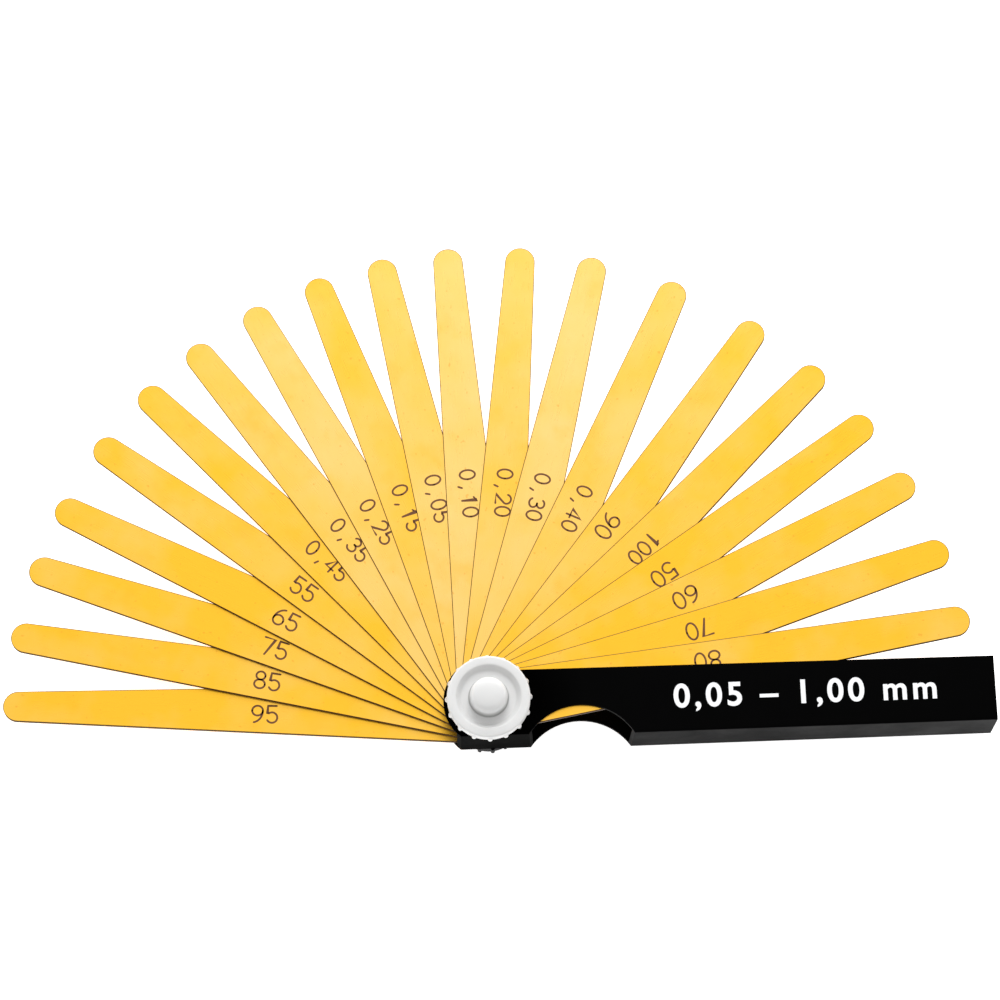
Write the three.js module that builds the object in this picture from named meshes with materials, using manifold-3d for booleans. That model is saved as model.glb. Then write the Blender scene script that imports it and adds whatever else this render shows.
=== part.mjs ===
// A folding feeler gauge: twenty tapered brass leaves fanned out of a folded steel holder.
// Millimetres. The origin is on the pivot axis, at the flat outer face of the rear head.
// +Z runs along the pivot towards the thumb nut and +X runs along the holder.
import * as THREE from "three";
import { mergeVertices } from "three/addons/utils/BufferGeometryUtils.js";
import Module from "manifold-3d";

const wasm = await Module();
wasm.setup();

// The leaves from the bottom of the stack to the top: thickness in hundredths of a millimetre,
// and the angle in degrees that each is swung out from the holder.
const LEAVES = [
  [95, 177],
  [85, 168.5],
  [75, 160],
  [65, 152],
  [55, 143],
  [45, 134.5],
  [35, 126.5],
  [25, 118],
  [15, 109.5],
  [5, 101.3],
  [10, 93],
  [20, 84],
  [30, 75],
  [40, 64.5],
  [90, 53.5],
  [100, 44],
  [50, 35.3],
  [60, 26.3],
  [70, 16.8],
  [80, 8],
];
const LEAF_REACH = 94; // pivot to tip
const LEAF_HEAD_RADIUS = 5.9;
const LEAF_TIP_RADIUS = 2.95;
const LEAF_GAP = 0.015; // running gap on each side of a leaf

const SHEET = 0.7; // holder wall
const HOLDER_END = 97;
const SPINE_Y = -7.1; // outer face of the closed edge
const SPINE_NEAR_Y = -6.65; // the same beside the pivot, where it is set back
const OPEN_ROOT_Y = 6; // free edge of both plates, at the pivot
const OPEN_END_Y = 5.45; // and at the far end
const NOSE_RADIUS = 8.65; // rounded pivot end
const BEND_RADIUS = 0.35; // outside of the folds
const NOTCH_X = 17.45;
const NOTCH_RADIUS = 11.8;
const NOTCH_DEPTH = 5.6; // at half the holder's thickness
const NOTCH_LEAN = 0.55; // it reaches this much further into the upper plate

const SCREW_RADIUS = 2.5;
const PIVOT_HOLE_RADIUS = 2.65;
const HEX_ACROSS_FLATS = 8;
const HEX_HEIGHT = 1.5;

const RIBS = 16;
const RIB_HEIGHT = 0.4;
const RIB_WIDTH = 0.9;
const REAR_HEAD_RADIUS = 6.55;
const REAR_HEAD_TURN = 5; // degrees, so that its ribs don't line up with the nut's
const REAR_HEAD_HEIGHT = 2.6;
const NUT_RADIUS = 7.95;
const NUT_HEIGHT = 2.5;
const NUT_BOSS_RADIUS = 6;
const NUT_BOSS_HEIGHT = 0.7;
const DISH_TOP_RADIUS = 6.25;
const DISH_FLOOR_RADIUS = 5.3;
const DISH_DEPTH = 1;
const DOME_BASE_RADIUS = 3.7;
const DOME_TOP_RADIUS = 3.4; // where the rounded shoulder starts
const DOME_HEIGHT = 3.4; // above the dish floor
const DOME_EDGE = 1.1; // rounding of the dome's shoulder
const DOME_CROWN = 0.4; // rise of the dome's top inside that rounding
const INSERT_RADIUS = 3.4;
const INSERT_HEIGHT = 2;
const WASHER_RADIUS = 5.2;
const WASHER_HEIGHT = 0.8;
const CLEARANCE = 0.05;

const ROUND_STEPS = 32; // facets on a full round
const LEAF_STEPS = 12; // facets on each end of a leaf
const RIB_STEPS = 6; // facets on each rib
const VALLEY_STEPS = 3; // facets between two ribs
const MARGIN = 1; // how far a cutting solid runs past what it cuts

// Levels along the pivot, from the rear head up.
const stackHeight = LEAVES.reduce((sum, [hundredths]) => sum + hundredths / 100 + LEAF_GAP, LEAF_GAP);
const hexTop = REAR_HEAD_HEIGHT - CLEARANCE;
const hexBottom = hexTop - HEX_HEIGHT;
const holderBottom = REAR_HEAD_HEIGHT + CLEARANCE;
const stackBottom = holderBottom + SHEET;
const holderTop = stackBottom + stackHeight + SHEET;
const washerBottom = holderTop + CLEARANCE;
const nutBottom = washerBottom + WASHER_HEIGHT + CLEARANCE;
const rimBottom = nutBottom + NUT_BOSS_HEIGHT;
const rimTop = rimBottom + NUT_HEIGHT;
const dishFloor = rimTop - DISH_DEPTH;
const domeTop = dishFloor + DOME_HEIGHT;
const insertBottom = nutBottom + CLEARANCE;
const insertTop = insertBottom + INSERT_HEIGHT;
const screwTop = domeTop - 2;

const material = (color, roughness, metalness) =>
  new THREE.MeshStandardMaterial({ color, roughness, metalness });
const BRASS = material(0xd9a63a, 0.32, 1);
const BLACK_PAINT = material(0x0c0c0d, 0.4, 0.2);
const BLACK_PLASTIC = material(0x111112, 0.5, 0);
const WHITE_PLASTIC = material(0xf0f0ee, 0.35, 0);
const STEEL = material(0xb8babd, 0.3, 1);

// A closed geometry as a solid that can be cut and joined.
function solid(geometry) {
  const bare = geometry.index ? geometry.toNonIndexed() : geometry.clone();
  bare.deleteAttribute("normal");
  bare.deleteAttribute("uv");
  const merged = mergeVertices(bare, 1e-4);
  return new wasm.Manifold(
    new wasm.Mesh({
      numProp: 3,
      vertProperties: merged.attributes.position.array,
      triVerts: new Uint32Array(merged.index.array),
    }),
  );
}

function geometryOf(manifold) {
  const made = manifold.getMesh();
  return new THREE.BufferGeometry()
    .setAttribute("position", new THREE.BufferAttribute(new Float32Array(made.vertProperties), 3))
    .setIndex(new THREE.BufferAttribute(new Uint32Array(made.triVerts), 1));
}

function piece(name, geometry, look) {
  const mesh = new THREE.Mesh(geometry, look);
  mesh.name = name;
  return mesh;
}

// A shape drawn in XY, extruded from one level to another.
function prism(shape, bottom, top, steps = ROUND_STEPS / 2) {
  const geometry = new THREE.ExtrudeGeometry(shape, {
    depth: top - bottom,
    bevelEnabled: false,
    curveSegments: steps,
  });
  return geometry.translate(0, 0, bottom);
}

// A profile of [radius, level] points turned around the pivot axis. It starts and ends on the
// axis, and runs upwards on the outside.
function turned(profile, steps = ROUND_STEPS) {
  const points = profile.map(([radius, level]) => new THREE.Vector2(radius, level));
  return new THREE.LatheGeometry(points, steps).rotateX(Math.PI / 2);
}

function disc(radius, bottom, top, steps) {
  const profile = [
    [0, bottom],
    [radius, bottom],
    [radius, top],
    [0, top],
  ];
  return turned(profile, steps);
}

function ring(outer, inner, bottom, top) {
  const shape = new THREE.Shape().absarc(0, 0, outer, 0, 2 * Math.PI, false);
  shape.holes.push(new THREE.Path().absarc(0, 0, inner, 0, 2 * Math.PI, true));
  return prism(shape, bottom, top);
}

function polar(radius, angle) {
  return new THREE.Vector2(radius * Math.cos(angle), radius * Math.sin(angle));
}

// A round with evenly spaced half-oval ribs, turned by some degrees.
function ribbedShape(radius, turn = 0) {
  const halfRib = RIB_WIDTH / 2 / radius;
  const pitch = (2 * Math.PI) / RIBS;
  const valley = pitch - 2 * halfRib;
  const points = [];
  for (let rib = 0; rib < RIBS; rib++) {
    const middle = rib * pitch + THREE.MathUtils.degToRad(turn);
    for (let i = 0; i <= RIB_STEPS; i++) {
      const across = (2 * i) / RIB_STEPS - 1;
      const rise = RIB_HEIGHT * Math.sqrt(1 - across ** 2);
      points.push(polar(radius + rise, middle + across * halfRib));
    }
    for (let i = 1; i < VALLEY_STEPS; i++) {
      points.push(polar(radius, middle + halfRib + (valley * i) / VALLEY_STEPS));
    }
  }
  return new THREE.Shape(points);
}

function hexShape(acrossFlats) {
  const corners = Array.from({ length: 6 }, (_, i) =>
    polar(acrossFlats / Math.sqrt(3), (Math.PI / 3) * i),
  );
  return new THREE.Shape(corners);
}

// Two rounds joined by their common tangents, with the pivot hole at the large end.
function leafShape() {
  const tipX = LEAF_REACH - LEAF_TIP_RADIUS;
  const tangent = Math.acos((LEAF_HEAD_RADIUS - LEAF_TIP_RADIUS) / tipX);
  const shape = new THREE.Shape();
  shape.absarc(tipX, 0, LEAF_TIP_RADIUS, -tangent, tangent, false);
  shape.absarc(0, 0, LEAF_HEAD_RADIUS, tangent, 2 * Math.PI - tangent, false);
  shape.holes.push(new THREE.Path().absarc(0, 0, PIVOT_HOLE_RADIUS, 0, 2 * Math.PI, true));
  return shape;
}

function leaves() {
  const shape = leafShape();
  let level = stackBottom + LEAF_GAP;
  return LEAVES.map(([hundredths, angle]) => {
    const thickness = hundredths / 100;
    const name = "leaf_" + String(hundredths).padStart(3, "0");
    const mesh = piece(name, prism(shape, level, level + thickness, LEAF_STEPS), BRASS);
    mesh.rotation.z = THREE.MathUtils.degToRad(angle);
    level += thickness + LEAF_GAP;
    return mesh;
  });
}

// The holder's section, drawn with the width along the shape's X and the height along its Y:
// two plates joined along the closed edge by a spine with rounded folds.
function channelShape(spine, open) {
  const shape = new THREE.Shape();
  shape.moveTo(open, holderBottom);
  shape.lineTo(open, holderBottom + SHEET);
  shape.lineTo(spine + SHEET, holderBottom + SHEET);
  shape.lineTo(spine + SHEET, holderTop - SHEET);
  shape.lineTo(open, holderTop - SHEET);
  shape.lineTo(open, holderTop);
  const bendY = spine + BEND_RADIUS;
  shape.absarc(bendY, holderTop - BEND_RADIUS, BEND_RADIUS, Math.PI / 2, Math.PI, false);
  shape.absarc(bendY, holderBottom + BEND_RADIUS, BEND_RADIUS, Math.PI, 1.5 * Math.PI, false);
  shape.closePath();
  return shape;
}

// The channel from one X to another. Its width narrows along its length towards the spine.
function channel(startX, endX, spine) {
  const openAt = (x) => THREE.MathUtils.lerp(OPEN_ROOT_Y, OPEN_END_Y, x / HOLDER_END);
  const narrowing = (openAt(endX) - spine) / (openAt(startX) - spine);
  const geometry = prism(channelShape(spine, openAt(startX)), 0, endX - startX, 4);
  geometry.rotateX(Math.PI / 2).rotateZ(Math.PI / 2).translate(startX, 0, 0);
  const position = geometry.attributes.position;
  for (let i = 0; i < position.count; i++) {
    if (position.getX(i) > (startX + endX) / 2) {
      position.setY(i, spine + (position.getY(i) - spine) * narrowing);
    }
  }
  return solid(geometry);
}

// The holder seen from above: wider than the channel, with a round nose about the pivot.
function blankShape() {
  const side = Math.abs(SPINE_Y) + MARGIN;
  const corner = Math.asin(side / NOSE_RADIUS);
  const shape = new THREE.Shape();
  shape.absarc(0, 0, NOSE_RADIUS, Math.PI - corner, Math.PI + corner, false);
  shape.lineTo(HOLDER_END + MARGIN, -side);
  shape.lineTo(HOLDER_END + MARGIN, side);
  shape.closePath();
  return shape;
}

// A round cutter whose upper end stands further into the holder than its lower end.
function notchCutter(low, high) {
  const centreY = SPINE_Y + NOTCH_DEPTH - NOTCH_RADIUS;
  const cutter = disc(NOTCH_RADIUS, low, high, 2 * ROUND_STEPS).translate(NOTCH_X, centreY, 0);
  const lean = NOTCH_LEAN / (holderTop - holderBottom);
  const middle = (holderTop + holderBottom) / 2;
  const position = cutter.attributes.position;
  for (let i = 0; i < position.count; i++) {
    position.setY(i, position.getY(i) + lean * (position.getZ(i) - middle));
  }
  return solid(cutter);
}

// The finger notch parts the closed edge in two: a set-back stretch beside the pivot, and the
// long one that holds the folded leaves.
function holder() {
  const [low, high] = [holderBottom - MARGIN, holderTop + MARGIN];
  const blank = solid(prism(blankShape(), low, high));
  const nearPart = channel(-NOSE_RADIUS - MARGIN, NOTCH_X, SPINE_NEAR_Y);
  const farPart = channel(NOTCH_X, HOLDER_END, SPINE_Y);
  const pivotHole = solid(disc(PIVOT_HOLE_RADIUS, low, high));
  const made = nearPart
    .add(farPart)
    .intersect(blank)
    .subtract(notchCutter(low, high))
    .subtract(pivotHole);
  return piece("holder", geometryOf(made), BLACK_PAINT);
}

// The screw's hexagonal head sits in the rear head, and its shank carries the leaves.
function pivotScrew() {
  const chamfer = 0.4;
  const shank = turned([
    [0, hexBottom + HEX_HEIGHT / 2],
    [SCREW_RADIUS, hexBottom + HEX_HEIGHT / 2],
    [SCREW_RADIUS, screwTop - chamfer],
    [SCREW_RADIUS - chamfer, screwTop],
    [0, screwTop],
  ]);
  const head = prism(hexShape(HEX_ACROSS_FLATS), hexBottom, hexTop);
  return piece("pivot_screw", geometryOf(solid(head).add(solid(shank))), STEEL);
}

function rearHead() {
  const body = solid(prism(ribbedShape(REAR_HEAD_RADIUS, REAR_HEAD_TURN), 0, REAR_HEAD_HEIGHT));
  const pocketShape = hexShape(HEX_ACROSS_FLATS + 2 * CLEARANCE);
  const pocket = solid(prism(pocketShape, hexBottom - CLEARANCE, REAR_HEAD_HEIGHT + MARGIN));
  return piece("rear_head", geometryOf(body.subtract(pocket)), BLACK_PLASTIC);
}

function nutWasher() {
  const geometry = ring(WASHER_RADIUS, PIVOT_HOLE_RADIUS, washerBottom, washerBottom + WASHER_HEIGHT);
  return piece("nut_washer", geometry, STEEL);
}

function nutInsert() {
  return piece("nut_insert", ring(INSERT_RADIUS, PIVOT_HOLE_RADIUS, insertBottom, insertTop), BRASS);
}

// The dome's outside: a slightly drawn-in wall, a rounded shoulder and a crowned top.
function dome() {
  const shoulderSteps = 6;
  const shoulderLevel = domeTop - DOME_CROWN - DOME_EDGE;
  const shoulder = Array.from({ length: shoulderSteps + 1 }, (_, i) => {
    const angle = (Math.PI / 2) * (i / shoulderSteps);
    const radius = DOME_TOP_RADIUS - DOME_EDGE * (1 - Math.cos(angle));
    return [radius, shoulderLevel + DOME_EDGE * Math.sin(angle)];
  });
  const base = (nutBottom + dishFloor) / 2;
  return turned([[0, base], [DOME_BASE_RADIUS, base], ...shoulder, [0, domeTop]]);
}

function thumbNut() {
  const rim = solid(prism(ribbedShape(NUT_RADIUS), rimBottom, rimTop));
  const boss = solid(disc(NUT_BOSS_RADIUS, nutBottom, rimBottom + NUT_HEIGHT / 2));
  const dish = turned([
    [0, dishFloor],
    [DISH_FLOOR_RADIUS, dishFloor],
    [DISH_TOP_RADIUS, rimTop],
    [DISH_TOP_RADIUS, rimTop + MARGIN],
    [0, rimTop + MARGIN],
  ]);
  const pocket = disc(INSERT_RADIUS + CLEARANCE, nutBottom - MARGIN, insertTop + CLEARANCE);
  const bore = disc(PIVOT_HOLE_RADIUS, nutBottom - MARGIN, screwTop + CLEARANCE);
  const made = rim
    .add(boss)
    .subtract(solid(dish))
    .add(solid(dome()))
    .subtract(solid(pocket))
    .subtract(solid(bore));
  return piece("thumb_nut", geometryOf(made), WHITE_PLASTIC);
}

const gauge = new THREE.Group();
gauge.add(holder(), ...leaves(), pivotScrew(), rearHead(), nutWasher(), nutInsert(), thumbNut());

export default gauge;
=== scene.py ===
"""Looks for a folding feeler gauge: numbered brass leaves, a black holder and ribbed knobs."""

import math

import bpy
from mathutils import Matrix, Vector


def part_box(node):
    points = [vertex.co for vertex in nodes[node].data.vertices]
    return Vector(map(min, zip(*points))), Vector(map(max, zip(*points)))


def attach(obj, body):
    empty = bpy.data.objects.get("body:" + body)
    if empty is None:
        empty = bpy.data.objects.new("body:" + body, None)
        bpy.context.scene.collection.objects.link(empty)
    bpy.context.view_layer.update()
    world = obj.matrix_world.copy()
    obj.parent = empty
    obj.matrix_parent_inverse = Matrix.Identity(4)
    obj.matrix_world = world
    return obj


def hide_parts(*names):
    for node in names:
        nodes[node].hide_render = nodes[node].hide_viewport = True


MM = 0.001

# A leaf's outline: two rounds joined by straight sides
LEAF_HEAD_RADIUS = 5.9 * MM
LEAF_TIP_RADIUS = 2.95 * MM
LEAF_HOLE_RADIUS = 2.65 * MM
LEAF_TIP_MIDDLE = 91.05 * MM  # from the pivot to the middle of the tip's round
LEAF_RIM = 0.13 * MM  # width of the sheared edge's sloped rim, seen from above, painted dark as shade
LEAF_RIM_DROP = 0.06 * MM  # at most this share of a thin leaf:
LEAF_RIM_SHARE = 0.3

# Leaves rolled from paler or richer brass than their neighbours, and two brass colours
PALER_LEAVES = (10, 25, 30, 35)
RICHER_LEAVES = (15, 20)
RICH_BRASS = (0.985, 0.535, 0.036)
PALE_BRASS = (0.95, 0.625, 0.205)

# The numbers on the leaves
STROKE_WIDTH = 0.38 * MM
STROKE_RISE = 0.004 * MM  # above the leaf, less than the gap to the next one
SMALL_NUMBER = 3.0 * MM  # height of a number with a comma or with three digits
TALL_NUMBER = 3.35 * MM  # height of one with two digits
NUMBER_REACH = 43.3 * MM  # from the pivot to the middle of a number
TALL_NUMBER_LEFT = 0.8 * MM  # from the leaf's middle line to the middle of a tall number
NUMBER_SHIFTS = {  # millimetres outwards and to the left, for those stamped off their place
    90: (-0.6, 0.5),
    100: (0.1, -0.9),
    50: (-0.7, -0.9),
    60: (0.2, -0.3),
    70: (-0.3, -0.1),
    80: (-0.5, -0.1),
}

# Printing on the holder
PRINT_TEXT = "0,05 – 1,00 mm"
PRINT_HEIGHT = 4.5 * MM  # of a capital
CAPITAL_SHARE = 0.7  # of the font's size
PRINT_START = 35.3 * MM  # from the pivot
PRINT_SPACING = 1.24  # between letters, 1 being the font's own
PRINT_BOLDNESS = 0.14 * MM
PRINT_RISE = 0.02 * MM

# The ribs round both knobs
RIBS = 16
RIB_WIDTH = 0.9 * MM
RIB_HEIGHT = 0.4 * MM

# The thumb nut, from its boss upwards
NUT_BOSS_RADIUS = 6.0 * MM
NUT_BOSS_HEIGHT = 0.7 * MM
NUT_RIM_HEIGHT = 2.5 * MM
NUT_BORE_RADIUS = 2.65 * MM
NUT_CLEARANCE = 0.05 * MM  # round the insert and over the screw
DISH_DEPTH = 1.0 * MM
DISH_TOP_RADIUS = 6.25 * MM
DISH_FLOOR_RADIUS = 5.3 * MM
DOME_FOOT_RADIUS = 3.75 * MM
DOME_SHOULDER_RADIUS = 3.4 * MM
POLE_RADIUS = 0.01 * MM  # of the small flats in the middle of a turned shape

# Painted shade on the black enamel round the knobs, centred about the middle of the holder's height
# at the pivot
PIVOT_SHADE_MIDDLE = (0, 0, 10 * MM)
PIVOT_SHADE_REACH = (11 * MM, 19 * MM)  # where the painted shade starts to fade, and where it ends

# The white studio round the object
FLOOR_HALF = 3.0  # metres
FLOOR_GLOW = 0.8
HORIZON_GLOW = 1.0
OVERHEAD_GLOW = 0.45
GLOW_FADE = (0.45, 0.85)  # sines of the elevations between which the walls dim

# The camera, about the pivot
CAMERA_DISTANCE = 800 * MM
CAMERA_TILT = math.radians(16)  # away from straight above
CAMERA_TURN = math.radians(-92.7)  # the side it tilts towards
CAMERA_ROLL = math.radians(-2.1)  # direction of the picture's width
CAMERA_LENS = 148.7  # millimetres on a 36 mm sensor
AIM_RIGHT = 2.2 * MM  # from the pivot to the middle of the picture
AIM_UP = 41.6 * MM

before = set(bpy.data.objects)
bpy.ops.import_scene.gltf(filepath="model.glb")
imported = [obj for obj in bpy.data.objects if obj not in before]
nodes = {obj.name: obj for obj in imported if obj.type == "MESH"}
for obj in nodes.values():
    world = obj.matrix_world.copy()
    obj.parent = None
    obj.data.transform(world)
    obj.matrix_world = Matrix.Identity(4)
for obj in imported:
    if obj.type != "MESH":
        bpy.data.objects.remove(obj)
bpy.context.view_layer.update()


# ---------------------------------------------------------------- node materials


class Shader:
    """A node material in the making, with short calls for the nodes used here."""

    def __init__(self, name, metallic=0.0, roughness=0.4):
        self.material = bpy.data.materials.new(name)
        self.material.use_nodes = True
        self.tree = self.material.node_tree
        self.principled = self.tree.nodes["Principled BSDF"]
        self.principled.inputs["Metallic"].default_value = metallic
        self.principled.inputs["Roughness"].default_value = roughness

    def node(self, kind, inputs=None, **settings):
        made = self.tree.nodes.new(kind)
        for key, value in settings.items():
            setattr(made, key, value)
        for key, value in (inputs or {}).items():
            self.feed(made.inputs[key], value)
        return made

    def feed(self, socket, value):
        """Links an output to the socket, or sets the socket's value."""
        if isinstance(value, bpy.types.NodeSocket):
            self.tree.links.new(value, socket)
        else:
            socket.default_value = value

    def set(self, **inputs):
        """Feeds the shader's own inputs, with _ for a space in their names."""
        for key, value in inputs.items():
            self.feed(self.principled.inputs[key.replace("_", " ")], value)

    def place(self, angle=0.0, stretch=(1, 1, 1)):
        """Object coordinates turned back by angle about Z, then scaled."""
        source = self.node("ShaderNodeTexCoord").outputs["Object"]
        turned = self.node(
            "ShaderNodeVectorRotate",
            {"Vector": source, "Angle": -angle},
            rotation_type="Z_AXIS",
        )
        scaled = self.node(
            "ShaderNodeVectorMath",
            {0: turned.outputs["Vector"], 1: stretch},
            operation="MULTIPLY",
        )
        return scaled.outputs["Vector"]

    def noise(self, vector, scale, detail=3.0, roughness=0.5):
        made = self.node(
            "ShaderNodeTexNoise",
            {"Vector": vector, "Scale": scale, "Detail": detail, "Roughness": roughness},
        )
        return made.outputs["Fac"]

    def ramp(self, value, low, high, from_low=0.0, from_high=1.0):
        """Maps from_low..from_high to low..high, clamped."""
        made = self.node(
            "ShaderNodeMapRange",
            {
                "Value": value,
                "From Min": from_low,
                "From Max": from_high,
                "To Min": low,
                "To Max": high,
            },
        )
        return made.outputs["Result"]

    def mix(self, factor, first, second):
        """Two colours mixed, each an RGB triple or an output."""
        made = self.node("ShaderNodeMix", data_type="RGBA")
        self.feed(made.inputs[0], factor)
        for socket, colour in ((made.inputs[6], first), (made.inputs[7], second)):
            self.feed(socket, (*colour, 1) if isinstance(colour, tuple) else colour)
        return made.outputs[2]

    def math(self, operation, first, second=0.0):
        made = self.node("ShaderNodeMath", {0: first, 1: second}, operation=operation)
        return made.outputs["Value"]

    def bump(self, height, distance, strength=1.0):
        made = self.node(
            "ShaderNodeBump",
            {"Height": height, "Distance": distance, "Strength": strength},
        )
        self.set(Normal=made.outputs["Normal"])

    def distance(self, point):
        """How far the surface is from a point of the object's own space."""
        place = self.node("ShaderNodeTexCoord").outputs["Object"]
        made = self.node("ShaderNodeVectorMath", {0: place, 1: point}, operation="DISTANCE")
        return made.outputs["Value"]


def leaf_brass(name, angle, paleness_and_sheen, seed):
    """Rolled brass: fine lines along the leaf, soft clouds and a few warm specks."""
    shader = Shader(name, metallic=1.0)
    offset = (seed * 0.37, seed * 0.11, 0.0)
    straight = shader.place(angle)
    local = shader.node("ShaderNodeVectorMath", {0: straight, 1: offset}).outputs["Vector"]
    along = shader.place(angle, (0.05, 1.0, 1.0))
    clouds = shader.noise(local, 75, detail=3.0)
    lines = shader.noise(along, 5200, detail=2.0)
    specks = shader.ramp(shader.noise(local, 1100, detail=1.0), 0, 0.4, 0.72, 0.78)
    tarnish = shader.ramp(shader.noise(local, 160, detail=4.0), 0, 0.35, 0.55, 0.75)
    drift = shader.ramp(clouds, paleness_and_sheen - 0.25, paleness_and_sheen + 0.25, 0.3, 0.7)
    tone = shader.mix(drift, RICH_BRASS, PALE_BRASS)
    warm = shader.mix(tarnish, tone, (0.93, 0.47, 0.03))
    shader.set(
        Base_Color=shader.mix(specks, warm, (0.75, 0.3, 0.03)),
        Roughness=shader.ramp(lines, 0.24, 0.34),
    )
    shader.bump(shader.math("ADD", lines, clouds), 0.004 * MM, 0.35)
    return shader.material


def sheared_edge(name, dark, light):
    """A near-black brown edge round a leaf, with a fine grain: painted shade for the dark lines
    between overlapping leaves.
    """
    shader = Shader(name, metallic=0.6, roughness=0.5)
    grain = shader.noise(shader.place(), 300, detail=3.0)
    shader.set(Base_Color=shader.mix(grain, dark, light))
    shader.bump(grain, 0.01 * MM, 0.3)
    return shader.material


def engraved_ink():
    """The dark brown bottom of the etched numbers."""
    shader = Shader("engraved_ink", roughness=0.7)
    grain = shader.noise(shader.place(), 2500)
    shader.set(Base_Color=shader.mix(grain, (0.07, 0.022, 0.004), (0.17, 0.06, 0.01)))
    shader.bump(grain, 0.01 * MM, 0.4)
    return shader.material


def black_paint(name, tone, roughness, gloss):
    """Satin black enamel with faint orange peel and rubbed patches, and painted shade round the
    pivot.
    """
    shader = Shader(name)
    place = shader.place()
    peel = shader.noise(place, 900, detail=2.0)
    rubbed = shader.noise(place, 60, detail=5.0, roughness=0.65)
    # Painted shade: towards the pivot the enamel goes nearly black and loses its gloss.
    away = shader.ramp(shader.distance(PIVOT_SHADE_MIDDLE), 0, 1, *PIVOT_SHADE_REACH)
    clean = shader.mix(rubbed, (tone, tone, tone), (1.6 * tone, 1.6 * tone, 1.7 * tone))
    shader.set(
        Base_Color=shader.mix(away, (0.0004, 0.0004, 0.0004), clean),
        Roughness=shader.ramp(rubbed, roughness - 0.08, roughness + 0.1, 0.3, 0.7),
        IOR=shader.ramp(away, 1.02, 1 + gloss),
    )
    shader.bump(peel, 0.02 * MM, 0.25)
    return shader.material


def print_white():
    """Screen-printed ink, thin in places."""
    shader = Shader("print_white", roughness=0.55)
    wear = shader.noise(shader.place(), 1400, detail=4.0)
    shader.set(Base_Color=shader.mix(wear, (0.86, 0.87, 0.88), (0.74, 0.75, 0.77)))
    shader.bump(wear, 0.005 * MM, 0.3)
    return shader.material


def white_plastic(dome_radius, dome_foot, dome_shoulder):
    """Moulded nylon, slightly see-through, with a fine skin and painted shade on the dome's lower
    wall.
    """
    shader = Shader("white_plastic")
    place = shader.place()
    skin = shader.noise(place, 2600, detail=3.0)
    flow = shader.noise(place, 150, detail=3.0)
    parts = shader.node("ShaderNodeSeparateXYZ", {"Vector": place})
    flat = shader.node("ShaderNodeVectorMath", {0: place, 1: (1, 1, 0)}, operation="MULTIPLY")
    reach = shader.node(
        "ShaderNodeVectorMath", {0: flat.outputs["Vector"]}, operation="LENGTH"
    ).outputs["Value"]
    near = shader.ramp(reach, 1, 0, dome_radius + 0.02 * MM, dome_radius + 0.25 * MM)
    rising = shader.ramp(parts.outputs["Z"], 1, 0, dome_foot, dome_shoulder)
    # Painted shade on the dome's lower wall: darkest at the dish floor, gone by the shoulder.
    painted_shade = shader.math("MULTIPLY", near, rising)
    clean = shader.mix(flow, (0.67, 0.67, 0.665), (0.62, 0.62, 0.615))
    shader.set(
        Base_Color=shader.mix(painted_shade, clean, (0.3, 0.3, 0.29)),
        Roughness=shader.ramp(skin, 0.32, 0.48),
        Subsurface_Weight=0.12,
        Subsurface_Radius=(0.9, 0.8, 0.7),
        Subsurface_Scale=0.8 * MM,
    )
    shader.bump(skin, 0.01 * MM, 0.3)
    return shader.material


def black_plastic():
    """Moulded black nylon with a matt skin and paler scuffs."""
    shader = Shader("black_plastic")
    place = shader.place()
    skin = shader.noise(place, 2200, detail=3.0)
    scuffs = shader.ramp(shader.noise(place, 320, detail=6.0, roughness=0.7), 0, 1, 0.55, 0.75)
    shader.set(
        Base_Color=shader.mix(scuffs, (0.004, 0.004, 0.0045), (0.012, 0.012, 0.0125)),
        Roughness=shader.ramp(skin, 0.42, 0.6),
        IOR=1.15,
    )
    shader.bump(skin, 0.015 * MM, 0.4)
    return shader.material


def turned_metal(name, light, dark, roughness):
    """A turned or plated small part, with fine rings left by the tool."""
    shader = Shader(name, metallic=1.0)
    place = shader.place()
    rings = shader.node(
        "ShaderNodeTexWave",
        {"Vector": place, "Scale": 900.0, "Distortion": 0.6, "Detail": 1.0},
        wave_type="RINGS",
        rings_direction="Z",
    ).outputs["Fac"]
    stain = shader.noise(place, 280, detail=4.0)
    shader.set(
        Base_Color=shader.mix(stain, light, dark),
        Roughness=shader.ramp(stain, roughness - 0.06, roughness + 0.1, 0.3, 0.7),
    )
    shader.bump(rings, 0.004 * MM, 0.4)
    return shader.material


# ---------------------------------------------------------------- pieces


def dress(obj, *materials):
    """Gives an object its materials, in slot order, in place of those it came with."""
    obj.data.materials.clear()
    for material in materials:
        obj.data.materials.append(material)


def soften(obj, width, edge_slot=-1):
    """Welds a CAD node's faces and rounds its edges."""
    weld = obj.modifiers.new("weld", "WELD")
    weld.merge_threshold = 1e-6
    bevel = obj.modifiers.new("bevel", "BEVEL")
    bevel.width = width
    bevel.segments = 2
    bevel.limit_method = "ANGLE"
    bevel.angle_limit = math.radians(35)
    bevel.material = edge_slot


def new_piece(name, vertices, faces, body, material, smooth=True):
    """A mesh of its own that rides on a body and has a material slot's name."""
    mesh = bpy.data.meshes.new(name)
    mesh.from_pydata(vertices, [], faces)
    mesh.validate()
    if smooth:
        mesh.shade_smooth()
    obj = bpy.data.objects.new(name, mesh)
    bpy.context.scene.collection.objects.link(obj)
    mesh.materials.append(material)
    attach(obj, body)
    return obj


# ---------------------------------------------------------------- numbers on the leaves


def arc(centre, radii, start, end, steps=14):
    """Points on an oval, from one angle to another in degrees."""
    points = []
    for i in range(steps + 1):
        angle = math.radians(start + (end - start) * i / steps)
        x = centre[0] + radii[0] * math.cos(angle)
        points.append((x, centre[1] + radii[1] * math.sin(angle)))
    return points


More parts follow.
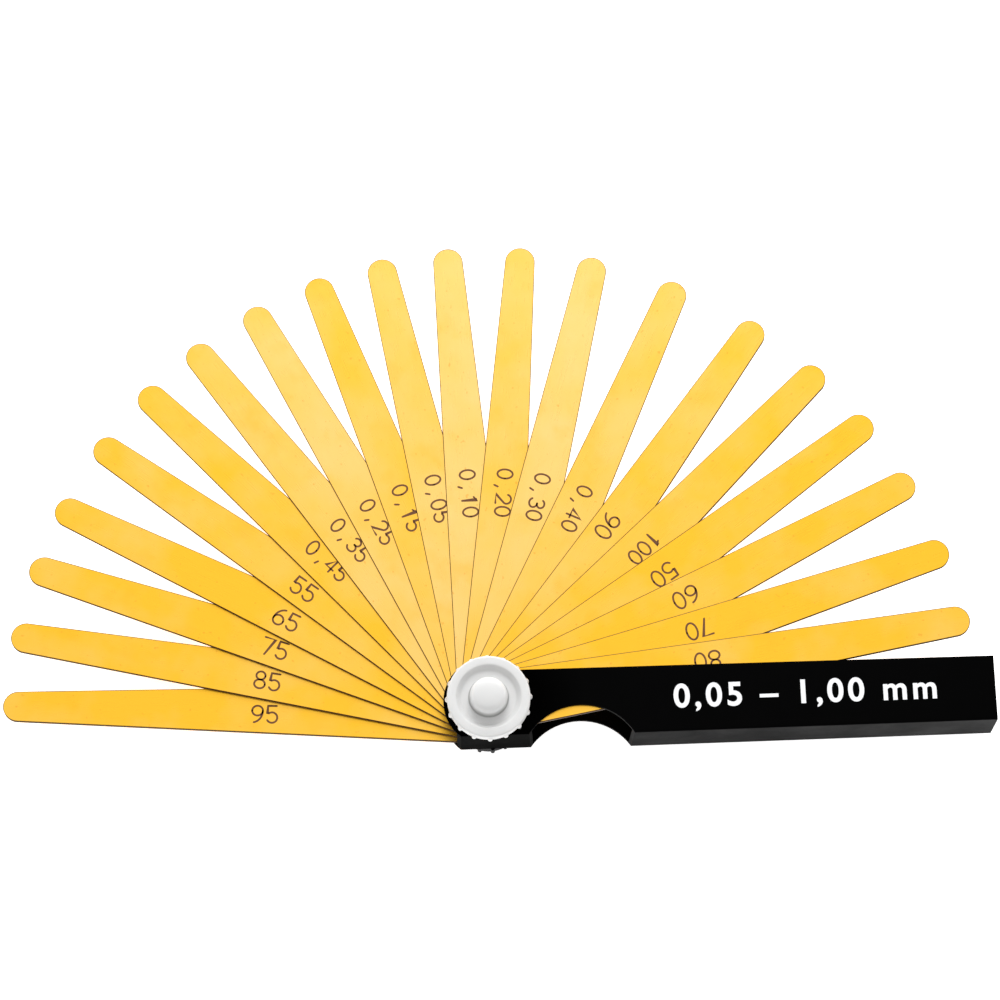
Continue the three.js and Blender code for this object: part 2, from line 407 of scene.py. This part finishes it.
def turned_over(strokes):
    """Strokes given half a turn about the middle of their sign."""
    return [[(-x, 1 - y) for x, y in stroke] for stroke in strokes]


# Each sign is a list of strokes, one unit high and centred on x = 0.
HALF = 0.31
SIX = [
    arc((0, 0.29), (HALF, 0.29), 0, 360, 24),
    arc((HALF, 0.29), (2 * HALF, 0.7), 100, 180),
]
SIGNS = {
    "0": [arc((0, 0.5), (HALF, 0.5), 0, 360, 28)],
    "1": [[(-0.16, 0.78), (0.04, 1), (0.04, 0)]],
    "2": [arc((0, 0.71), (HALF, 0.29), 165, -30) + [(-HALF, 0), (HALF, 0)]],
    "3": [
        arc((0, 0.755), (0.9 * HALF, 0.245), 155, -90),
        arc((0, 0.265), (HALF, 0.265), 90, -155),
    ],
    "4": [[(0.13, 0), (0.13, 1), (-HALF, 0.27), (HALF, 0.27)]],
    "5": [
        [(0.85 * HALF, 1), (-0.75 * HALF, 1), (-0.85 * HALF, 0.55)]
        + arc((0, 0.31), (HALF, 0.31), 128, -150)
    ],
    "6": SIX,
    "7": [[(-HALF, 1), (HALF, 1), (-0.07, 0)]],
    "8": [
        arc((0, 0.76), (0.85 * HALF, 0.24), 0, 360, 24),
        arc((0, 0.26), (HALF, 0.26), 0, 360, 24),
    ],
    "9": turned_over(SIX),
    ",": [[(0.03, 0.08), (-0.07, -0.16)]],
}
SIGN_STEP = 0.84  # from one digit's middle to the next, in heights
COMMA_STEP = 0.85  # from a digit's middle to a comma's


def number_strokes(text):
    """The strokes of a number, one unit high, centred on its own middle."""
    places = [0.0]
    for before, after in zip(text, text[1:]):
        beside_comma = "," in (before, after)
        places.append(places[-1] + (COMMA_STEP if beside_comma else SIGN_STEP))
    middle = places[-1] / 2
    return [
        [Vector((x + place - middle, y - 0.5)) for x, y in stroke]
        for place, sign in zip(places, text)
        for stroke in SIGNS[sign]
    ]


def ribbon(points, width):
    """A flat strip along a line of points, with rounded ends: its outline and its faces."""
    count = len(points)
    directions = [(points[min(i + 1, count - 1)] - points[max(i - 1, 0)]) for i in range(count)]
    rails = []
    for i, (point, direction) in enumerate(zip(points, directions)):
        side = direction.normalized().orthogonal() * (width / 2)
        stretch = 1.0
        if 0 < i < count - 1:
            bend = (points[i] - points[i - 1]).angle(points[i + 1] - points[i], 0.0)
            stretch = 1 / max(math.cos(bend / 2), 0.5)
        rails.append((point + side * stretch, point - side * stretch))
    for end, inner in ((0, 1), (-1, -2)):
        outward = (points[end] - points[inner]).normalized() * (width / 2)
        tip = rails[end]
        capped = tuple(points[end] + outward * 0.9 + (p - points[end]) * 0.45 for p in tip)
        rails.insert(0, capped) if end == 0 else rails.append(capped)
    vertices = [point for pair in rails for point in pair]
    faces = [(2 * i, 2 * i + 1, 2 * i + 3, 2 * i + 2) for i in range(len(rails) - 1)]
    return vertices, faces


def number_layout(thickness):
    """The number on a leaf of that many hundredths of a millimetre: its text, its height, and
    how far its middle is along the leaf and to the leaf's left."""
    out, left = (shift * MM for shift in NUMBER_SHIFTS.get(thickness, (0, 0)))
    if thickness < 50:
        return f"0,{thickness:02d}", SMALL_NUMBER, NUMBER_REACH + out, left
    height = TALL_NUMBER if thickness < 100 else SMALL_NUMBER
    return str(thickness), height, NUMBER_REACH + out, TALL_NUMBER_LEFT + left


def leaf_direction(node):
    """The angle that a leaf points in, from the vertices at its far end."""
    points = [v.co for v in nodes[node].data.vertices]
    reach = max(p.xy.length for p in points)
    tip = sum((p.xy for p in points if p.xy.length > 0.97 * reach), Vector((0, 0)))
    return math.atan2(tip.y, tip.x)


def engrave(node, thickness, angle, ink):
    """Lays a leaf's number on its upper face, to be read from the tip towards the pivot."""
    text, height, reach, left = number_layout(thickness)
    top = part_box(node)[1].z + STROKE_RISE
    place = Matrix.Rotation(angle, 4, "Z") @ Matrix.Translation((reach, left, top))
    place @= Matrix.Rotation(math.pi, 4, "Z")
    vertices = []
    faces = []
    for stroke in number_strokes(text):
        points, strips = ribbon([p * height for p in stroke], STROKE_WIDTH)
        faces += [[len(vertices) + i for i in strip] for strip in strips]
        vertices += [place @ p.to_3d() for p in points]
    number = new_piece(f"{node}_number", vertices, faces, node, ink, smooth=False)
    depth = number.modifiers.new("depth", "SOLIDIFY")
    depth.thickness = 2 * STROKE_RISE
    depth.offset = -1


# ---------------------------------------------------------------- leaves


def leaf_ring(tip_middle, tip_radius, head_radius, level, steps=40):
    """Points round a leaf that points along X, at one level. With no tip it is a round."""
    lean = math.degrees(math.acos((LEAF_HEAD_RADIUS - LEAF_TIP_RADIUS) / LEAF_TIP_MIDDLE))
    tip = arc((tip_middle, 0), (tip_radius, tip_radius), -lean, lean, steps)
    head = arc((0, 0), (head_radius, head_radius), lean, 360 - lean, steps)
    return [Vector((x, y, level)) for x, y in tip + head[1:-1]]


def leaf_blank(node, angle):
    """A leaf's rings of points and the faces between them, the last ring joined to the first."""
    low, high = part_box(node)
    bottom, top = low.z, high.z
    rim_drop = min(LEAF_RIM_DROP, LEAF_RIM_SHARE * (top - bottom))

    def outline(inset, level):
        radii = (LEAF_TIP_RADIUS - inset, LEAF_HEAD_RADIUS - inset)
        return leaf_ring(LEAF_TIP_MIDDLE, *radii, level)

    def hole(level):
        return leaf_ring(0, LEAF_HOLE_RADIUS, LEAF_HOLE_RADIUS, level)

    rings = [
        hole(bottom),
        outline(0, bottom),
        outline(0, top - rim_drop),
        outline(LEAF_RIM, top),
        hole(top),
    ]
    turn = Matrix.Rotation(angle, 4, "Z")
    vertices = [turn @ point for ring in rings for point in ring]
    count = len(rings[0])
    faces = []
    for row in range(len(rings)):
        a, b = row * count, (row + 1) % len(rings) * count
        for i in range(count):
            j = (i + 1) % count
            faces.append((a + i, a + j, b + j, b + i))
    return vertices, faces, count


def brass_leaf(node, angle, brass, wall, rim):
    """The leaf with smooth rounds and its edge painted dark as the shade between leaves, in place
    of the faceted CAD one.
    """
    vertices, faces, count = leaf_blank(node, angle)
    name = f"{node}_brass"
    leaf = new_piece(name, vertices, faces, node, brass, smooth=False)
    leaf.data.materials.append(wall)
    leaf.data.materials.append(rim)
    slots = {1: 1, 2: 2, 4: 1}  # the outer wall, the rim and the wall of the hole
    for i, face in enumerate(leaf.data.polygons):
        if i // count in slots:
            face.material_index = slots[i // count]
            face.use_smooth = True
    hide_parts(node)


def finish_leaves():
    ink = engraved_ink()
    # Walls and rims near-black: painted shade for the lines between overlapping leaves.
    wall = sheared_edge("sheared_edge", (0.045, 0.02, 0.0035), (0.06, 0.027, 0.005))
    rim = sheared_edge("rim_painted_shade", (0.03, 0.011, 0.002), (0.08, 0.033, 0.006))
    for seed, node in enumerate(sorted(n for n in nodes if n.startswith("leaf_"))):
        thickness = int(node.rpartition("_")[2])
        angle = leaf_direction(node)
        # Leaves pointing towards the lamps behind the fan are paler as painted sheen; the listed
        # leaves differ in their own brass.
        paleness_and_sheen = 0.08 + 0.55 * max(0.0, math.sin(angle)) ** 4
        if thickness in PALER_LEAVES:
            paleness_and_sheen += 0.22
        if thickness in RICHER_LEAVES:
            paleness_and_sheen -= 0.15
        brass = leaf_brass(f"brass_{thickness:03d}", angle, paleness_and_sheen, seed)
        brass_leaf(node, angle, brass, wall, rim)
        engrave(node, thickness, angle, ink)


# ---------------------------------------------------------------- holder


def print_on_holder():
    """The measuring range in white on the holder's upper plate."""
    low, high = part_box("holder")
    text = bpy.data.curves.new("holder_print", "FONT")
    text.body = PRINT_TEXT
    text.size = PRINT_HEIGHT / CAPITAL_SHARE
    text.space_character = PRINT_SPACING
    text.offset = PRINT_BOLDNESS
    text.extrude = PRINT_RISE
    text.align_y = "CENTER"
    obj = bpy.data.objects.new("holder_print", text)
    bpy.context.scene.collection.objects.link(obj)
    obj.location = (PRINT_START, (low.y + high.y) / 2, high.z)
    text.materials.append(print_white())
    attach(obj, "holder")


def finish_holder():
    paint = black_paint("black_paint", 0.0008, 0.42, 0.055)
    # Lighter enamel on the rounded edges: partly real wear, partly a painted highlight along them.
    worn_edge_and_highlight = black_paint("worn_edge_and_highlight", 0.07, 0.35, 0.3)
    dress(nodes["holder"], paint, worn_edge_and_highlight)
    soften(nodes["holder"], 0.14 * MM, edge_slot=1)
    print_on_holder()


# ---------------------------------------------------------------- knobs


def rib_columns(radius):
    """Angles round a knob, each with how far a rib stands out there, from 0 to 1."""
    half_rib = RIB_WIDTH / 2 / radius
    pitch = 2 * math.pi / RIBS
    across = [-1, -0.92, -0.72, -0.4, 0, 0.4, 0.72, 0.92, 1]
    between = 5
    columns = []
    for rib in range(RIBS):
        middle = rib * pitch
        columns += [(middle + a * half_rib, math.sqrt(1 - a * a)) for a in across]
        gap = pitch - 2 * half_rib
        columns += [(middle + half_rib + gap * i / between, 0.0) for i in range(1, between)]
    return columns


def turned_knob(profile, radius):
    """Turns a profile of (radius, level, rib share) about the pivot into a closed mesh."""
    columns = rib_columns(radius)
    vertices = []
    for reach, level, share in profile:
        for angle, rise in columns:
            r = reach + share * rise * RIB_HEIGHT
            vertices.append((r * math.cos(angle), r * math.sin(angle), level))
    count = len(columns)
    faces = []
    for row in range(len(profile) - 1):
        for i in range(count):
            j = (i + 1) % count
            a, b = row * count, (row + 1) * count
            faces.append((a + i, a + j, b + j, b + i))
    last = (len(profile) - 1) * count
    faces.append(tuple(reversed(range(count))))
    faces.append(tuple(range(last, last + count)))
    return vertices, faces


def rounded(corner, before, after, radius, steps=4):
    """A profile corner rounded between the points before and after it."""
    corner, before, after = (Vector(p) for p in (corner, before, after))
    start = corner + (before - corner).normalized() * radius
    end = corner + (after - corner).normalized() * radius
    points = []
    for i in range(steps + 1):
        t = i / steps
        points.append(tuple(start * (1 - t) ** 2 + corner * 2 * t * (1 - t) + end * t * t))
    return points


def smooth_profile(corners):
    """Corners of (radius, level, rib share, rounding), with each rounded corner filled in."""
    points = []
    for i, (reach, level, share, rounding) in enumerate(corners):
        if rounding:
            before, after = corners[i - 1], corners[i + 1]
            arc_points = rounded((reach, level), before[:2], after[:2], rounding)
            points += [(r, z, share) for r, z in arc_points]
        else:
            points.append((reach, level, share))
    return points


def finish_thumb_nut():
    """A smoother moulding over the CAD nut, with the same bore, pocket and outer sizes."""
    low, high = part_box("thumb_nut")
    _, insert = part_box("nut_insert")
    radius = high.x - RIB_HEIGHT
    bottom, top = low.z, high.z
    rim_bottom = bottom + NUT_BOSS_HEIGHT
    rim_top = rim_bottom + NUT_RIM_HEIGHT
    floor = rim_top - DISH_DEPTH
    pocket = insert.x + NUT_CLEARANCE
    pocket_top = insert.z + NUT_CLEARANCE
    bore_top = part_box("pivot_screw")[1].z + NUT_CLEARANCE
    profile = smooth_profile(
        [
            (POLE_RADIUS, bore_top, 0, 0),
            (NUT_BORE_RADIUS, bore_top, 0, 0),
            (NUT_BORE_RADIUS, pocket_top, 0, 0),
            (pocket, pocket_top, 0, 0),
            (pocket, bottom, 0, 0),
            (NUT_BOSS_RADIUS, bottom, 0, 0.15 * MM),
            (NUT_BOSS_RADIUS, rim_bottom, 0, 0.1 * MM),
            (radius, rim_bottom, 0.6, 0.3 * MM),
            (radius, rim_bottom + 0.45 * MM, 1, 0),
            (radius, rim_top - 1.3 * MM, 1, 0),
            (radius, rim_top - 0.8 * MM, 0.5, 0),
            (radius, rim_top - 0.5 * MM, 0, 0),
            (radius, rim_top, 0, 0.4 * MM),
            (DISH_TOP_RADIUS, rim_top, 0, 0.22 * MM),
            (DISH_FLOOR_RADIUS, floor, 0, 0.3 * MM),
            (DOME_FOOT_RADIUS, floor, 0, 0.25 * MM),
            (DOME_SHOULDER_RADIUS, top - 0.35 * MM, 0, 1.1 * MM),
            (1.2 * MM, top - 0.02 * MM, 0, 0.6 * MM),
            (POLE_RADIUS, top, 0, 0),
        ]
    )
    vertices, faces = turned_knob(profile, radius)
    plastic = white_plastic(DOME_FOOT_RADIUS, floor, top - 1.2 * MM)
    name = "thumb_nut_moulding"
    nut = new_piece(name, vertices, faces, "thumb_nut", plastic)
    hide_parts("thumb_nut")


def finish_small_parts():
    steel = turned_metal("zinc_steel", (0.66, 0.67, 0.68), (0.52, 0.53, 0.55), 0.3)
    dress(nodes["rear_head"], black_plastic())
    soften(nodes["rear_head"], 0.12 * MM)
    for name in ("pivot_screw", "nut_washer"):
        dress(nodes[name], steel)
        soften(nodes[name], 0.06 * MM)
    brass = turned_metal("insert_brass", (0.86, 0.62, 0.25), (0.7, 0.47, 0.17), 0.28)
    dress(nodes["nut_insert"], brass)
    soften(nodes["nut_insert"], 0.06 * MM)


# ---------------------------------------------------------------- studio


def add_floor():
    mesh = bpy.data.meshes.new("floor")
    corners = [(FLOOR_HALF * x, FLOOR_HALF * y, 0) for x, y in ((-1, -1), (1, -1), (1, 1), (-1, 1))]
    mesh.from_pydata(corners, [], [(0, 1, 2, 3)])
    floor = bpy.data.objects.new("floor", mesh)
    bpy.context.scene.collection.objects.link(floor)
    floor.location.z = -0.02 * MM
    shader = Shader("floor_paper", roughness=0.9)
    fibres = shader.noise(shader.place(), 900)
    shader.set(
        Base_Color=shader.mix(fibres, (0.95, 0.95, 0.95), (0.93, 0.93, 0.93)),
        Specular_IOR_Level=0.0,
        Emission_Color=(1, 1, 1, 1),
        Emission_Strength=FLOOR_GLOW,
    )
    mesh.materials.append(shader.material)


def add_light(name, location, target, size, power):
    data = bpy.data.lights.new(name, "AREA")
    data.shape = "DISK"
    data.size = size
    data.energy = power
    light = bpy.data.objects.new(name, data)
    bpy.context.scene.collection.objects.link(light)
    light.location = location
    light.rotation_mode = "QUATERNION"
    light.rotation_quaternion = (Vector(target) - Vector(location)).to_track_quat("-Z", "Y")


def add_studio():
    """A white room that is brighter low down than overhead, with two soft lamps behind the fan."""
    add_floor()
    world = bpy.data.worlds.new("studio")
    bpy.context.scene.world = world
    world.use_nodes = True
    background = world.node_tree.nodes["Background"]
    background.inputs["Color"].default_value = (1, 1, 1, 1)
    direction = world.node_tree.nodes.new("ShaderNodeTexCoord")
    parts = world.node_tree.nodes.new("ShaderNodeSeparateXYZ")
    fade = world.node_tree.nodes.new("ShaderNodeMapRange")
    for socket, value in zip(("From Min", "From Max"), GLOW_FADE):
        fade.inputs[socket].default_value = value
    fade.inputs["To Min"].default_value = HORIZON_GLOW
    fade.inputs["To Max"].default_value = OVERHEAD_GLOW
    world.node_tree.links.new(direction.outputs["Generated"], parts.inputs["Vector"])
    world.node_tree.links.new(parts.outputs["Z"], fade.inputs["Value"])
    world.node_tree.links.new(fade.outputs["Result"], background.inputs["Strength"])
    middle = (0.0, 0.03, 0.0)
    add_light("key", (0.1, 1.3, 0.8), middle, 1.2, 23.0)
    add_light("top", (0.0, 0.6, 1.6), middle, 1.8, 4.7)
    bpy.context.scene.view_settings.view_transform = "Standard"


def add_camera():
    """Stands over the pivot, tilted towards the viewer, with the fan in the picture's middle."""
    back = Vector(
        (
            math.sin(CAMERA_TILT) * math.cos(CAMERA_TURN),
            math.sin(CAMERA_TILT) * math.sin(CAMERA_TURN),
            math.cos(CAMERA_TILT),
        )
    )
    right = Vector((math.cos(CAMERA_ROLL), math.sin(CAMERA_ROLL), 0))
    right = (right - right.dot(back) * back).normalized()
    up = back.cross(right)
    pivot = Vector((0, 0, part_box("leaf_095")[0].z))
    data = bpy.data.cameras.new("camera")
    data.lens = CAMERA_LENS
    data.sensor_width = 36
    camera = bpy.data.objects.new("camera", data)
    bpy.context.scene.collection.objects.link(camera)
    axes = Matrix((right, up, back)).transposed().to_4x4()
    place = pivot + AIM_RIGHT * right + AIM_UP * up + CAMERA_DISTANCE * back
    camera.matrix_world = Matrix.Translation(place) @ axes
    bpy.context.scene.camera = camera


finish_leaves()
finish_holder()
finish_thumb_nut()
finish_small_parts()
add_studio()
add_camera()
